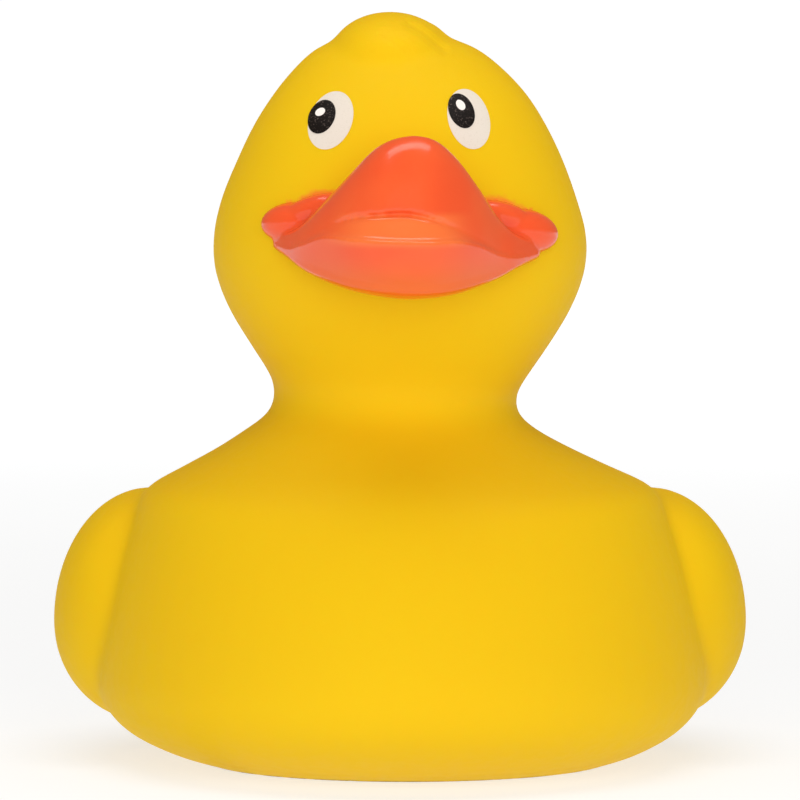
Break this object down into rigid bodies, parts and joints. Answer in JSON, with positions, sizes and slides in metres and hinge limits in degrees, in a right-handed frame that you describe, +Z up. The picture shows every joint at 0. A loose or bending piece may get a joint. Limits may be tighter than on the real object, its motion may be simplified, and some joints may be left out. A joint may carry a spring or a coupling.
{
  "type": "rubber duck",
  "caption": "Squeaky bath duck: a hollow soft shell with a flared bill, wing pads, an upturned tail and a head tuft, standing on a flat base that holds its squeaker.",
  "frame": {"origin": "on the plane the duck stands on, under the middle of its bounding box", "axes": "+Z up, -Y the way the duck faces, +X towards the duck's left side"},
  "size_m": [0.0778, 0.0852, 0.0839],
  "materials": {
    "yellow_vinyl": "satin soft vinyl, with the bill sprayed in glossy orange and printed eyes",
    "housing_plastic": "moulded, off-white",
    "block_plastic": "moulded, off-white",
    "reed_film": "thin polished strip"
  },
  "bodies": {
    "root": {"duck_shell": "yellow_vinyl", "squeaker_housing": "housing_plastic", "squeaker_reed_block": "block_plastic", "squeaker_reed": "reed_film"}
  },
  "joints": []
}
